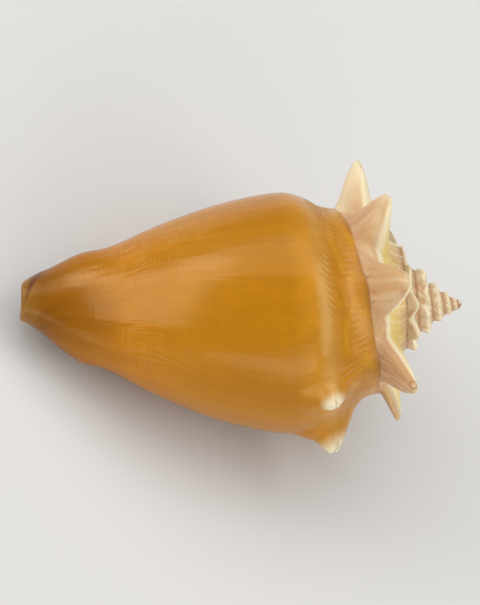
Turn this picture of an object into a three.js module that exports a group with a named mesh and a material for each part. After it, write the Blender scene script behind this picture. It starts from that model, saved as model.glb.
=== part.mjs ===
// West Indian fighting conch: one coiled shell with a spined shoulder, a flared lip and an open bore.
// Units are millimetres. The shell is first laid out along its own axis (X towards the apex, Y towards
// the lip's side, Z towards the back) and then turned and set down the way it rests on a table.
//
// Growth is counted in turns of the coil: 0 lies on the +Y side of the last whorl, earlier growth is
// negative, and the lip stands a little past 0. Across a whorl, v runs 0 at the suture, 0.5 at the
// shoulder, 1 where the next whorl takes hold and 2 at the front tip. A depth is measured from the apex
// along the axis, and a radius from the axis.

import * as THREE from 'three';
import { mergeGeometries, mergeVertices } from 'three/addons/utils/BufferGeometryUtils.js';

// Driving dimensions
const LENGTH = 88.5; // apex to front tip
const GROWTH = 1.66; // size of a whorl against the one a turn before
const APEX_TURN = -6.2; // where the first whorl is closed
const LIP_TURN = 0.15; // where the outer lip ends
const BORE_TURNS = 0.98; // how far the open bore winds back from the lip
const WALL = 2.4; // thickness of the last whorl
const LIP_WALL = 2.2; // thickness at the lip's edge
const FRONT_THINNING = 0.9; // how much thinner the wall is along the canal
const LIP_ROUNDING = 0.45; // bulge of the lip's edge against its thickness
const RAMP_SAG = 0.09; // hollow of the ramp against its width
const SHOULDER_FILLET = 0.14; // rounding of the spined shoulder, in v
const YOUNG_FILLET = 0.25; // rounding on the last whorl
const OLD_FILLET = 0.36; // rounding on the small whorls near the apex
const BORE_TOP = 1.1; // v on the whorl before at which the bore begins
const BORE_FRONT = 0.5; // how much shorter the bore is deep inside, in v
const BORE_CLOSING = [0.3, 0.95]; // turns behind the lip between which it shortens
const TIP_WALL = 0.035; // wall left in front of the canal, in v
const COLOUR = 0xc07f2c; // glossy orange ochre

// Pose at rest: the direction that points up, and where the front tip's axis comes to lie
const REST_UP = new THREE.Vector3(0.3182, 0.4308, 0.8445);
const REST_AT = new THREE.Vector3(-40.971, -0.187, 5.148);

// Mesh density
const ROWS_PER_TURN = 60;
const RAMP_COLUMNS = 8;
const SHOULDER_COLUMNS = 3;
const LIP_STEPS = 4;
const FACE_COLUMNS = 15;
const BORE_ROWS = 24;
const COLUMN_STEPS = [1, 2, 2, 4, 4, 4]; // ramp columns taken together on each older whorl

// Keys along the coil: [turn, millimetres]
const SUTURE_DEPTH = [[-7.2, 0.2], [-6.6, 0.5], [-6, 1.05], [-5, 2.4], [-4, 4.3], [-3, 7], [-2, 10],
  [-1, 12.9], [-0.5, 16.5], [-0.35, 18.1], [-0.25, 20], [0, 26], [0.25, 29.6], [0.5, 32.6], [1, 39.3]];
const SUTURE_RADIUS = [[-7.2, 0.62], [-6.6, 0.82], [-6, 1], [-5, 1.5], [-4, 2.5], [-3, 4.2], [-2, 7.1],
  [-1, 11.9], [-0.5, 17.2], [0, 19]];
const SHOULDER_DEPTH = [[-7.2, 0.45], [-6.6, 0.9], [-6, 1.6], [-5, 3.3], [-4, 5.5], [-3, 8], [-2.5, 9.5],
  [-2, 12.2], [-1.5, 14.9], [-1.25, 16.6], [-1, 20.3], [-0.75, 23.2], [-0.5, 25.6], [-0.25, 28.6],
  [0, 33.8], [0.16, 38]];
const SHOULDER_RADIUS = [[-7.2, 1], [-6.6, 1.2], [-6, 1.45], [-5, 2.4], [-4, 4.1], [-3, 6.5], [-2, 11.4],
  [-1.5, 16.4], [-1, 19], [-0.75, 21.8], [-0.5, 24.6], [-0.25, 24.6], [0, 22.2], [0.07, 23.4], [0.16, 32]];

// Outlines of the last whorl below its shoulder: [turn, [depth, radius]...]
const OUTLINES = [
  [-1, [[21, 19], [23.4, 19.3], [26, 19], [29.5, 17.2], [38, 12.2], [52, 7.2], [68, 3.9], [80, 2], [88, 1]]],
  [-0.75, [[23.4, 21.8], [30, 21.5], [38, 19.2], [52, 13.4], [68, 7.3], [80, 4.5], [88, 3]]],
  [-0.5, [[25.6, 24.6], [30, 25.6], [35, 25.9], [42.5, 24.7], [49, 23.1], [57, 20.1], [65, 16.4], [72, 13],
    [76, 12], [82.6, 7.3], [88.5, 2.6]]],
  [-0.25, [[28.6, 24.6], [35, 25], [42.5, 24], [49, 22], [57, 18.5], [65, 14.2], [72, 10.6], [76, 8.8],
    [82, 7.4], [88.3, 7]]],
  [0, [[33.8, 22.2], [38, 22.1], [42.5, 21.4], [49, 19.8], [57, 17.1], [65, 13.7], [72, 10.8], [76, 10],
    [82.6, 6.9], [86.5, 5], [88.4, 3.4]]],
  [0.07, [[35.3, 23.4], [42.5, 22.9], [49, 21.3], [57, 18.5], [65, 14.8], [72, 11.6], [76, 10.3],
    [82.6, 7.3], [86.5, 5.3], [88.3, 3.7]]],
  [0.16, [[38, 32], [42.5, 33], [49, 31.2], [57, 27.2], [65, 21.8], [72, 16.9], [76, 14.3], [82.6, 9.8],
    [87, 6.5]]],
];

// Course of the lip and of every growth line: [v, turns ahead of the whorl's own turn]
const GROWTH_LINE = [[0, 0], [0.25, -0.012], [0.5, 0.004], [1, 0], [1.35, 0.012], [1.6, 0.012],
  [1.72, -0.008], [1.8, 0.002], [1.86, -0.01], [1.92, -0.06], [1.96, -0.14], [2, -0.3]];

// Spines of the shoulder: [degrees back from turn 0, height, lean towards the apex in degrees, and for a
// stout one how much broader its foot is]
const SPINES = [[138, 3, 8], [174, 6.1, 3], [210, 5.4, 28], [252, 6.6, 15], [288, 7, 12], [324, 7.8, 8],
  [360, 10.3, -2], [396, 9, 20], [440, 9.8, 28], [492, 9.7, 33], [546, 7.6, 22, 1.35], [588, 6.2, 15],
  [636, 5.6, 15], [690, 5, -12], [738, 1.3, -15], [774, 1.8, 10], [810, 2.4, 30], [846, 2.3, 30]];
const SPINE_KEEL = 8.5; // length of a young spine's low ridge, either way from its tip
const SPINE_FLARE = 1.25; // how much a spine's foot flares out
const TIP_RADIUS = 0.28; // bluntness of a spine's tip, against its foot
const TIP_PINCH = 0.5; // how strongly the mesh gathers at a spine's tip
const OLD_FRONT_FOOT = 0.12; // height of an old spine's front foot where the next whorl takes hold
const KNOB_START = 882; // degrees back, where the spines have become a row of even knobs
const KNOB_SPACING = 31;
const KNOB_HEIGHT = 1.5;
const KNOB_SHRINK = 0.955; // each knob against the next younger one
const KNOB_COUNT = 36;
const KNOB_LEAN = 30;

/** Natural cubic spline through [x, y] keys, straight beyond its ends. */
class Spline {
  constructor(keys) {
    this.x = keys.map((key) => key[0]);
    this.y = keys.map((key) => key[1]);
    this.bend = Spline.bends(this.x, this.y);
  }

  /** Second derivative at each key. */
  static bends(x, y) {
    const last = x.length - 1;
    const upper = new Array(x.length).fill(0);
    const right = new Array(x.length).fill(0);
    for (let i = 1; i < last; i += 1) {
      const before = x[i] - x[i - 1];
      const after = x[i + 1] - x[i];
      const pivot = 2 * (before + after) - before * upper[i - 1];
      const turn = 6 * ((y[i + 1] - y[i]) / after - (y[i] - y[i - 1]) / before);
      upper[i] = after / pivot;
      right[i] = (turn - before * right[i - 1]) / pivot;
    }
    const bend = new Array(x.length).fill(0);
    for (let i = last - 1; i > 0; i -= 1) {
      bend[i] = right[i] - upper[i] * bend[i + 1];
    }
    return bend;
  }

  /** Slope at the start or the end of span i. */
  slope(i, atEnd) {
    const width = this.x[i + 1] - this.x[i];
    const chord = (this.y[i + 1] - this.y[i]) / width;
    const [near, far] = atEnd ? [this.bend[i + 1], this.bend[i]] : [-this.bend[i], -this.bend[i + 1]];
    return chord + (width / 6) * (2 * near + far);
  }

  at(x) {
    const last = this.x.length - 1;
    if (x <= this.x[0]) return this.y[0] + this.slope(0, false) * (x - this.x[0]);
    if (x >= this.x[last]) return this.y[last] + this.slope(last - 1, true) * (x - this.x[last]);
    const i = this.x.findIndex((key) => key > x) - 1;
    const width = this.x[i + 1] - this.x[i];
    const k = (x - this.x[i]) / width;
    const j = 1 - k;
    const curve = (j ** 3 - j) * this.bend[i] + (k ** 3 - k) * this.bend[i + 1];
    return j * this.y[i] + k * this.y[i + 1] + ((width * width) / 6) * curve;
  }
}

/** Spline of a size that grows by ratios, as a shell does. */
class GrowthSpline extends Spline {
  constructor(keys) {
    super(keys.map(([x, y]) => [x, Math.log(y)]));
  }

  at(x) {
    return Math.exp(super.at(x));
  }
}

const sutureDepth = new GrowthSpline(SUTURE_DEPTH);
const sutureRadius = new GrowthSpline(SUTURE_RADIUS);
const shoulderDepth = new GrowthSpline(SHOULDER_DEPTH);
const shoulderRadius = new GrowthSpline(SHOULDER_RADIUS);
const tipDepth = new Spline(OUTLINES.map(([turn, outline]) => [turn, outline.at(-1)[0]]));
const outlineSplines = OUTLINES.map(([turn, outline]) => [turn, outline, new Spline(outline)]);
const growthLine = new Spline(GROWTH_LINE);

function mix(a, b, k) {
  return a.map((value, i) => value + (b[i] - value) * k);
}

function smoothstep(from, to, x) {
  const k = Math.min(1, Math.max(0, (x - from) / (to - from)));
  return k * k * (3 - 2 * k);
}

/** Even steps from a to b, both ends included. */
function steps(a, b, count) {
  return Array.from({ length: count + 1 }, (_, i) => a + ((b - a) * i) / count);
}

const radiusSplines = new Map();

/** Spline of the radius round the last whorl, at one part of the way from shoulder to tip. */
function radiusRound(part) {
  const key = part.toFixed(6);
  if (!radiusSplines.has(key)) {
    const keys = outlineSplines.map(([turn, outline, spline]) => {
      const top = outline[0][0];
      return [turn, spline.at(top + part * (outline.at(-1)[0] - top))];
    });
    const older = [-1.25, keys[0][1] * GROWTH ** -0.25];
    radiusSplines.set(key, new Spline([older, ...keys]));
  }
  return radiusSplines.get(key);
}

/** Point [depth, radius] on a whorl's face, part 0 at the shoulder and 1 at the front tip. */
function face(turn, part) {
  const top = shoulderDepth.at(turn);
  const late = Math.max(turn, -1);
  const radius = radiusRound(part).at(late) * GROWTH ** Math.min(0, turn + 1);
  return [top + part * (tipDepth.at(late) - top), radius];
}

/** Part of the way from shoulder to tip at which a depth lies. */
function partAt(turn, depth) {
  const top = shoulderDepth.at(turn);
  return (depth - top) / (tipDepth.at(Math.max(turn, -1)) - top);
}

function suture(turn) {
  const depth = sutureDepth.at(turn);
  const radius = turn < 0 ? sutureRadius.at(turn) : face(turn - 1, partAt(turn - 1, depth))[1];
  return [depth, radius];
}

function shoulder(turn) {
  return [shoulderDepth.at(turn), shoulderRadius.at(turn)];
}

/** Slightly hollow ramp between the suture and the shoulder. */
function ramp(turn, v) {
  const from = suture(turn);
  const to = shoulder(turn);
  const [dDepth, dRadius] = [to[0] - from[0], to[1] - from[1]];
  const k = 2 * v;
  const sag = RAMP_SAG * 4 * k * (1 - k) * smoothstep(-2.7, -2, turn);
  return [from[0] + dDepth * k + dRadius * sag, from[1] + dRadius * k - dDepth * sag];
}

/** The whorl below its shoulder; older whorls end where the next one takes hold. */
function flank(turn, v) {
  const next = suture(turn + 1);
  const near = partAt(turn, next[0]);
  if (v > 1) return face(turn, near + (v - 1) * (1 - near));
  const k = 2 * v - 1;
  const open = smoothstep(LIP_TURN - 1, LIP_TURN - 0.85, turn);
  return mix(mix(shoulder(turn), next, k), face(turn, near * k), open);
}

/** Rounding of the shoulder, in v. */
function filletAt(turn) {
  const young = (YOUNG_FILLET - SHOULDER_FILLET) * smoothstep(-1, -0.7, turn);
  return SHOULDER_FILLET + young + (OLD_FILLET - SHOULDER_FILLET) * smoothstep(-2, -2.7, turn);
}

/** Bare section of the whorl: [depth, radius]. */
function section(turn, v) {
  const fillet = filletAt(turn);
  if (Math.abs(v - 0.5) >= fillet) return v < 0.5 ? ramp(turn, v) : flank(turn, v);
  const k = (v - 0.5 + fillet) / (2 * fillet);
  const corner = shoulder(turn);
  const before = mix(ramp(turn, 0.5 - fillet), corner, k);
  const after = mix(corner, flank(turn, 0.5 + fillet), k);
  return mix(before, after, k);
}

function allSpines() {
  const knobs = steps(0, KNOB_COUNT - 1, KNOB_COUNT - 1).map((i) => [
    KNOB_START + i * KNOB_SPACING, KNOB_HEIGHT * KNOB_SHRINK ** i, KNOB_LEAN]);
  return [...SPINES, ...knobs].map(([back, height, lean, stoutness = 1]) => ({
    turn: -back / 360,
    height,
    width: stoutness * (height > 3 ? 2.4 + 0.36 * height : 0.3 + 1.1 * height),
    lean: THREE.MathUtils.degToRad(lean),
  }));
}

const spines = allSpines();

/** How far one spine lifts a point that lies this far across and along its foot. */
function lift(spine, across, along, young) {
  const tail = 0.4 * young;
  const foot = spine.width * (1.15 + (along < 0 ? 0.3 : -0.2) * young);
  const reach = Math.hypot(across / spine.width, along / foot, TIP_RADIUS);
  const body = Math.max(0, (1 - reach) / (1 - TIP_RADIUS)) ** SPINE_FLARE;
  const ridge = 1 - (across / (1.4 * spine.width)) ** 2 - (along / SPINE_KEEL) ** 2;
  return spine.height * ((1 - tail) * body + tail * Math.max(0, ridge) ** 1.3);
}

/** Distance of a point from the shoulder, along the section: negative on the ramp. */
function alongSection(turn, v) {
  const corner = shoulder(turn);
  const from = v < 0.5 ? suture(turn) : section(turn, v);
  const distance = Math.hypot(corner[0] - from[0], corner[1] - from[1]);
  return v < 0.5 ? -(1 - 2 * v) * distance : distance;
}

function acrossSpine(turn, spine) {
  return (turn - spine.turn) * 2 * Math.PI * shoulder(turn)[1];
}

/** Shift [depth, radius] that the spines give a point of the whorl. */
function spineShift(turn, v) {
  if (v > 1.5) return [0, 0];
  const along = alongSection(turn, v);
  const young = smoothstep(-1, -0.8, turn);
  const held = 1 - (1 - young) * (1 - OLD_FRONT_FOOT) * smoothstep(0.72, 1.02, v);
  const shift = [0, 0];
  for (const spine of spines) {
    const across = acrossSpine(turn, spine);
    if (Math.abs(across) < 1.5 * spine.width) {
      const height = lift(spine, across, along, young) * held;
      shift[0] -= height * Math.sin(spine.lean);
      shift[1] += height * Math.cos(spine.lean);
    }
  }
  return shift;
}

/** Grid point [turn, v] drawn in towards the spine that it stands on, so that its tip isn't cut off. */
function gather(turn, v) {
  const along = alongSection(turn, v);
  const hold = smoothstep(0, 0.15, v) * smoothstep(1, 0.85, v);
  if (hold === 0) return [turn, v];
  let drawn = [turn, v];
  for (const spine of spines) {
    const reach = Math.hypot(acrossSpine(turn, spine), along / 1.15) / spine.width;
    if (reach < 1) {
      const factor = 1 + hold * (reach ** TIP_PINCH - 1);
      drawn = [spine.turn + (turn - spine.turn) * factor, 0.5 + (v - 0.5) * factor];
    }
  }
  return drawn;
}

/** Section with its spines; near the suture it rides over the spines of the whorl before. */
function spinedSection(turn, v) {
  const bare = section(turn, v);
  const own = spineShift(turn, v);
  const rise = smoothstep(0, 0.12, v);
  const point = [bare[0] + own[0] * rise, bare[1] + own[1] * rise];
  if (v >= 0.22) return point;
  const under = spineShift(turn - 1, 1);
  const fade = (1 - v / 0.22) ** 2;
  return [point[0] + under[0] * fade, point[1] + under[1] * fade];
}

/** Point in space of a section point at a turn of the coil. */
function place(turn, [depth, radius]) {
  const angle = -2 * Math.PI * turn;
  return new THREE.Vector3(LENGTH - depth, radius * Math.cos(angle), radius * Math.sin(angle));
}

/** Outside of the shell on one growth line. */
function outside(line, v) {
  const [turn, across] = gather(line + growthLine.at(v), v);
  return place(turn, spinedSection(turn, across));
}

/** v on the shell that a column of the bore follows; deep inside, the bore ends sooner. */
function boreReach(line, v) {
  if (v <= BORE_TOP) return v;
  const back = Math.max(0, LIP_TURN - line);
  const tipWall = TIP_WALL * (1 - Math.exp(-back / TIP_WALL));
  const front = 2 - tipWall - BORE_FRONT * smoothstep(...BORE_CLOSING, back);
  return BORE_TOP + ((v - BORE_TOP) * (front - BORE_TOP)) / (2 - BORE_TOP);
}

function wallAt(line, v) {
  const nearLip = smoothstep(LIP_TURN - 0.25, LIP_TURN, line);
  return WALL + (LIP_WALL - WALL) * nearLip - FRONT_THINNING * smoothstep(1.55, 1.95, v);
}

/** Section of the pillar: the whorl before, seen from within the bore. */
function pillar(line, v) {
  const reach = boreReach(line, Math.max(v, BORE_TOP));
  return section(line + growthLine.at(reach) - 1, reach);
}

/** Section point at wall thickness below the outside. */
function wallInside(line, turn, v) {
  const [ahead, behind] = [section(turn, Math.min(v + 1e-3, 2)), section(turn, Math.max(v - 1e-3, 0))];
  const along = [ahead[0] - behind[0], ahead[1] - behind[1]];
  const thickness = wallAt(line, v) / Math.hypot(...along);
  const skin = section(turn, v);
  return [skin[0] + along[1] * thickness, skin[1] - along[0] * thickness];
}

/** Inside of the outer wall; it closes onto the pillar at its top and its front end. */
function boreWall(line, v) {
  const reach = boreReach(line, v);
  let turn = line + growthLine.at(reach);
  let point = wallInside(line, turn, reach);
  const open = smoothstep(0, 0.35, v);
  point = mix(pillar(line, BORE_TOP), point, open);
  turn = THREE.MathUtils.lerp(line + growthLine.at(BORE_TOP), turn, open);
  const close = Math.max(0, (v - 1.93) / 0.07);
  return place(turn, mix(pillar(line, v), point, Math.sqrt(Math.max(0, 1 - close * close))));
}

/** Surface of the pillar inside the bore. */
function borePillar(line, v) {
  return place(line + growthLine.at(boreReach(line, v)), pillar(line, v));
}

/** Unit direction in which the shell grows at a point of the lip. */
function growthDirection(v) {
  const turn = LIP_TURN + growthLine.at(v);
  const point = section(turn, v);
  return place(turn + 1e-3, point).sub(place(turn, point)).normalize();
}

/** One point of the lip's rounded edge, step 0 outside and step 1 inside. */
function lipPoint(v, step) {
  const outer = outside(LIP_TURN, v);
  if (step === 0) return outer;
  const inner = boreWall(LIP_TURN, v);
  const thickness = outer.distanceTo(inner);
  const swing = Math.PI * step;
  const rounded = outer.clone().add(inner).multiplyScalar(0.5)
    .addScaledVector(outer.clone().sub(inner), 0.5 * Math.cos(swing))
    .addScaledVector(growthDirection(v), LIP_ROUNDING * thickness * Math.sin(swing));
  const root = outer.clone().add(outside(LIP_TURN - 1, 1 + (BORE_TOP - 1) * step))
    .sub(outside(LIP_TURN - 1, 1));
  const grown = root.lerp(rounded, smoothstep(0, 0.3, v));
  const end = outer.clone().lerp(outside(LIP_TURN - 1, v), step);
  return grown.lerp(end, smoothstep(1.9, 2, v));
}

/** Grid of points as a sheet: rows along the growth, columns along v. */
function sheet(rows) {
  const columns = rows[0].length;
  const plane = new THREE.PlaneGeometry(1, 1, columns - 1, rows.length - 1);
  rows.flat().forEach((point, i) => plane.attributes.position.setXYZ(i, point.x, point.y, point.z));
  return plane;
}

function middle(ring) {
  return ring.reduce((sum, point) => sum.add(point), new THREE.Vector3()).divideScalar(ring.length);
}

/** Ring of points closed by a fan round its centre. */
function cap(ring, centre = middle(ring)) {
  const disc = new THREE.CircleGeometry(1, ring.length);
  const points = [centre, ...ring, ring[0]];
  points.forEach((point, i) => disc.attributes.position.setXYZ(i, point.x, point.y, point.z));
  return disc;
}

const upperColumns = [...steps(0, 0.5, RAMP_COLUMNS).slice(0, -1), ...steps(0.5, 1, SHOULDER_COLUMNS)];
const frontColumns = steps(0, 1, FACE_COLUMNS).map((k) => BORE_TOP + (2 - BORE_TOP) * (1 - (1 - k) ** 1.5));
const rimColumns = steps(1, BORE_TOP, LIP_STEPS).slice(0, -1);
const bodyColumns = [...upperColumns.slice(0, -1), ...rimColumns, ...frontColumns];

/** The last whorl, from where it frees itself of the lip to the lip. */
function bodyWhorl() {
  const lines = steps(LIP_TURN - 1, LIP_TURN, ROWS_PER_TURN);
  return sheet(lines.map((line) => bodyColumns.map((v) => outside(line, v))));
}

/** Columns of an older whorl: neighbours fall together, so that small whorls get few faces. */
function olderColumns(turnsBack) {
  const step = COLUMN_STEPS[Math.min(turnsBack, COLUMN_STEPS.length - 1)];
  return upperColumns.map((v, i) => {
    if (i <= RAMP_COLUMNS) return upperColumns[Math.floor(i / step) * step];
    if (step === 1 || i === upperColumns.length - 1) return v;
    return step > 2 || i === RAMP_COLUMNS + 1 ? upperColumns[RAMP_COLUMNS] : v;
  });
}

/** All older whorls, from the apex to the start of the last whorl, with the apex closed. */
function spire() {
  const count = Math.round((LIP_TURN - 1 - APEX_TURN) * ROWS_PER_TURN);
  const start = LIP_TURN - 1 - count / ROWS_PER_TURN;
  const rows = steps(count, 0, count).map((back) => {
    const turnsBack = Math.floor(Math.max(0, back - 1) / ROWS_PER_TURN);
    return olderColumns(turnsBack).map((v) => outside(LIP_TURN - 1 - back / ROWS_PER_TURN, v));
  });
  const seam = steps(start + 1, start, ROWS_PER_TURN).slice(0, -1).map((line) => outside(line, 0));
  const ring = [...rows[0].slice(0, -1), ...seam];
  return [sheet(rows), cap(ring, middle(ring).setX(LENGTH))];
}

/** The lip's rounded edge and the small cap at the canal's tip. */
function lip() {
  const rows = steps(0, 1, LIP_STEPS).map((step) => bodyColumns.map((v) => lipPoint(v, step)));
  const tip = steps(LIP_TURN - 1, LIP_TURN, ROWS_PER_TURN).map((line) => outside(line, 2));
  const edge = rows.slice(1, -1).map((row) => row.at(-1));
  return [sheet(rows), cap([...tip, ...edge])];
}

/** Loop round the bore: down the outer wall and back up the pillar. */
function boreLoop(depth) {
  const line = LIP_TURN - BORE_TURNS * depth ** 1.1;
  const upwards = frontColumns.slice(0, -1).reverse();
  if (depth === 0) {
    return [...bodyColumns.map((v) => lipPoint(v, 1)), ...upwards.map((v) => outside(LIP_TURN - 1, v))];
  }
  const loop = [...bodyColumns.map((v) => boreWall(line, v)), ...upwards.map((v) => borePillar(line, v))];
  const centre = middle(loop);
  const narrowing = 0.6 * smoothstep(0.9, 1, depth);
  return loop.map((point) => point.lerp(centre, narrowing));
}

function bore() {
  const rows = steps(0, 1, BORE_ROWS).map(boreLoop);
  return [sheet(rows), cap(rows.at(-1).slice(0, -1).reverse())];
}

/** Sheets welded into one closed body, without the faces that fell together. */
function weld(sheets) {
  sheets.forEach((piece) => piece.deleteAttribute('normal').deleteAttribute('uv'));
  const welded = mergeVertices(mergeGeometries(sheets), 1e-4);
  const index = welded.index.array;
  const kept = [];
  for (let i = 0; i < index.length; i += 3) {
    const [a, b, c] = [index[i], index[i + 1], index[i + 2]];
    if (a !== b && b !== c && c !== a) kept.push(a, b, c);
  }
  welded.setIndex(kept);
  welded.computeVertexNormals();
  return welded;
}

/** Turn that brings REST_UP upright and keeps the apex towards +X. */
function restTurn() {
  const up = REST_UP.clone().normalize();
  const forward = new THREE.Vector3(1, 0, 0).projectOnPlane(up).normalize();
  const across = up.clone().cross(forward);
  return new THREE.Matrix4().makeBasis(forward, across, up).transpose();
}

const glossyOchre = new THREE.MeshStandardMaterial({ color: COLOUR, roughness: 0.3, metalness: 0 });
const shell = new THREE.Mesh(weld([bodyWhorl(), ...spire(), ...lip(), ...bore()]), glossyOchre);
shell.name = 'shell';
shell.quaternion.setFromRotationMatrix(restTurn());
shell.position.copy(REST_AT);

const model = new THREE.Group();
model.add(shell);

export default model;
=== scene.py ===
"""West Indian fighting conch shell, lying at rest on a pale floor under soft studio light.

The shell is one piece. Its surface follows a growth law: one section, from the suture over the spined
shoulder down to the canal, is carried round a coil that gets bigger by the same ratio each turn. Lengths
are millimetres on the shell's own axis (X towards the apex, Y towards the lip's side, Z towards the back)
until the finished mesh is laid down the way it rests, in metres.
"""

import logging
import math
from dataclasses import dataclass, field
from enum import Enum
from functools import reduce
from itertools import product
from typing import Sequence

import bmesh
import bpy
import numpy as np
from bmesh.types import BMesh
from bpy.types import Material, Node, NodeSocket, Object
from mathutils import Matrix, Vector

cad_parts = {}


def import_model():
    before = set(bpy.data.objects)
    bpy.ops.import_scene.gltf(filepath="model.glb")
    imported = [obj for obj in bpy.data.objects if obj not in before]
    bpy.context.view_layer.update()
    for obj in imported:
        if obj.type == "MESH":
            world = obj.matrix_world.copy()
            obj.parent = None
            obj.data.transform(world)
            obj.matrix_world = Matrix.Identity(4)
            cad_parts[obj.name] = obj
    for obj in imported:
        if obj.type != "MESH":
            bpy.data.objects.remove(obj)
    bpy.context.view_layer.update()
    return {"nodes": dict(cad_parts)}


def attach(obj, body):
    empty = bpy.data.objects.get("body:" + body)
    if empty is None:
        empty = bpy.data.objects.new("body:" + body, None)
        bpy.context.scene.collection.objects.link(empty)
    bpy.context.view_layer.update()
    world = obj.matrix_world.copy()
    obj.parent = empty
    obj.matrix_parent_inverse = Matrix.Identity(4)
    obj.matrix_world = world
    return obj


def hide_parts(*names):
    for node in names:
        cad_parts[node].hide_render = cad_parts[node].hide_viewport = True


LOG = logging.getLogger("conch")
MM = 0.001
FULL_TURN = 2 * math.pi
DEGREES = 360
SMALL_SPINE = 3.0
UV_MAPS = ("growth", "marks")

Array = np.ndarray
Keys = Sequence[tuple[float, float]]
Colour = tuple[int, int, int]
Stops = tuple[tuple[float, Colour], ...]


def smoothstep(low: float, high: float, value: Array) -> Array:
    """Ease from 0 where the value is low to 1 where it is high."""
    k = np.clip((value - low) / (high - low), 0, 1)
    return k * k * (3 - 2 * k)


def mix(first: Array, second: Array, share: Array) -> Array:
    """Blend two stacks of [depth, radius], with the given share of the second."""
    return first + (second - first) * share


def between(first: float, last: float, count: int) -> Array:
    """Even steps from first to last, both included."""
    return np.linspace(first, last, count + 1)


class Spline:
    """Natural cubic spline through keys, straight beyond its ends."""

    def __init__(self, places: Sequence[float]) -> None:
        """Prepare the matrix that turns the keys' values into second derivatives.

        Args:
            places: the keys' places, rising.
        """
        self.places = np.asarray(places, float)
        count = len(self.places)
        widths = np.diff(self.places)
        system = np.eye(count)
        slopes = np.zeros((count, count))
        for i in range(1, count - 1):
            before, after = widths[i - 1], widths[i]
            system[i, i - 1:i + 2] = (before, 2 * (before + after), after)
            slopes[i, i - 1:i + 2] = (6 / before, -6 / before - 6 / after, 6 / after)
        self.bending = np.linalg.solve(system, slopes)

    def read(self, place: Array, values: Array) -> Array:
        """Values between the keys.

        Args:
            place: where to read, one number for each point.
            values: the keys' values, with one column for each point or one for all.

        Returns:
            One value for each point.
        """
        values = np.broadcast_to(values, (len(self.places), len(place)))
        bends = self.bending @ values
        i = np.clip(np.searchsorted(self.places, place, side="right") - 1, 0, len(self.places) - 2)
        each = np.arange(len(place))
        width = self.places[i + 1] - self.places[i]
        k = np.clip((place - self.places[i]) / width, 0, 1)
        j = 1 - k
        low, high = values[i, each], values[i + 1, each]
        bend_low, bend_high = bends[i, each], bends[i + 1, each]
        inner = j * low + k * high + width**2 / 6 * ((j**3 - j) * bend_low + (k**3 - k) * bend_high)
        slope = (high - low) / width + width / 6 * ((1 - 3 * j**2) * bend_low + (3 * k**2 - 1) * bend_high)
        beyond = place - (self.places[i] + k * width)
        return inner + slope * beyond


class Curve:
    """Spline with fixed keys, read as a function of its place."""

    def __init__(self, keys: Keys, grows: bool = False) -> None:
        """Keep the keys.

        Args:
            keys: pairs of place and value.
            grows: whether the value rises by ratios, as a shell's sizes do.
        """
        self.spline = Spline([place for place, _ in keys])
        values = np.array([value for _, value in keys], float)
        self.values = (np.log(values) if grows else values)[:, None]
        self.grows = grows

    def __call__(self, place: Array) -> Array:
        """Values at the given places."""
        place = np.asarray(place, float)
        result = self.spline.read(place.ravel(), self.values).reshape(place.shape)
        return np.exp(result) if self.grows else result


@dataclass(frozen=True)
class Spine:
    """One spine or knob of the shoulder."""

    turn: float
    height: float
    lean: float
    stoutness: float = 1.0

    @property
    def width(self) -> float:
        """Half the width of its foot along the shoulder."""
        small = self.height <= SMALL_SPINE
        return self.stoutness * (0.3 + 1.1 * self.height if small else 2.4 + 0.36 * self.height)


@dataclass(frozen=True)
class WornTip:
    """Round pit worn into a spine: its middle, the way the surface faces there, its radius and its stain."""

    at: tuple[float, float, float]
    way: tuple[float, float, float]
    radius: float
    stain: float


# Worn tips that face upwards, in millimetres on the shell's own axis
WORN_TIPS = (WornTip((77.23, -15.87, 19.2), (0.05, -0.12, 0.99), 0.78, 0.6),
             WornTip((72.01, 20.17, 16.19), (-0.04, 0.23, 0.97), 0.5, 0.2))

# Keys along the coil, [turn, millimetres]: turn 0 lies on the lip's side and earlier growth is negative
SUTURE_DEPTH: Keys = ((-7.2, 0.2), (-6.6, 0.5), (-6, 1.05), (-5, 2.4), (-4, 4.3), (-3, 7), (-2, 10),
                      (-1, 12.9), (-0.5, 16.5), (-0.35, 18.1), (-0.25, 20), (0, 26), (0.25, 29.6),
                      (0.5, 32.6), (1, 39.3))
SUTURE_RADIUS: Keys = ((-7.2, 0.62), (-6.6, 0.82), (-6, 1), (-5, 1.5), (-4, 2.5), (-3, 4.2), (-2, 7.1),
                       (-1, 11.9), (-0.5, 17.2), (0, 19))
SHOULDER_DEPTH: Keys = ((-7.2, 0.45), (-6.6, 0.9), (-6, 1.6), (-5, 3.3), (-4, 5.5), (-3, 8), (-2.5, 9.5),
                        (-2, 12.2), (-1.5, 14.9), (-1.25, 16.6), (-1, 20.3), (-0.75, 23.2), (-0.5, 25.6),
                        (-0.25, 28.6), (0, 33.8), (0.16, 38))
SHOULDER_RADIUS: Keys = ((-7.2, 1), (-6.6, 1.2), (-6, 1.45), (-5, 2.4), (-4, 4.1), (-3, 6.5), (-2, 11.4),
                         (-1.5, 16.4), (-1, 19), (-0.75, 21.8), (-0.5, 24.6), (-0.25, 24.6), (0, 22.2),
                         (0.07, 23.4), (0.16, 32))

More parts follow.
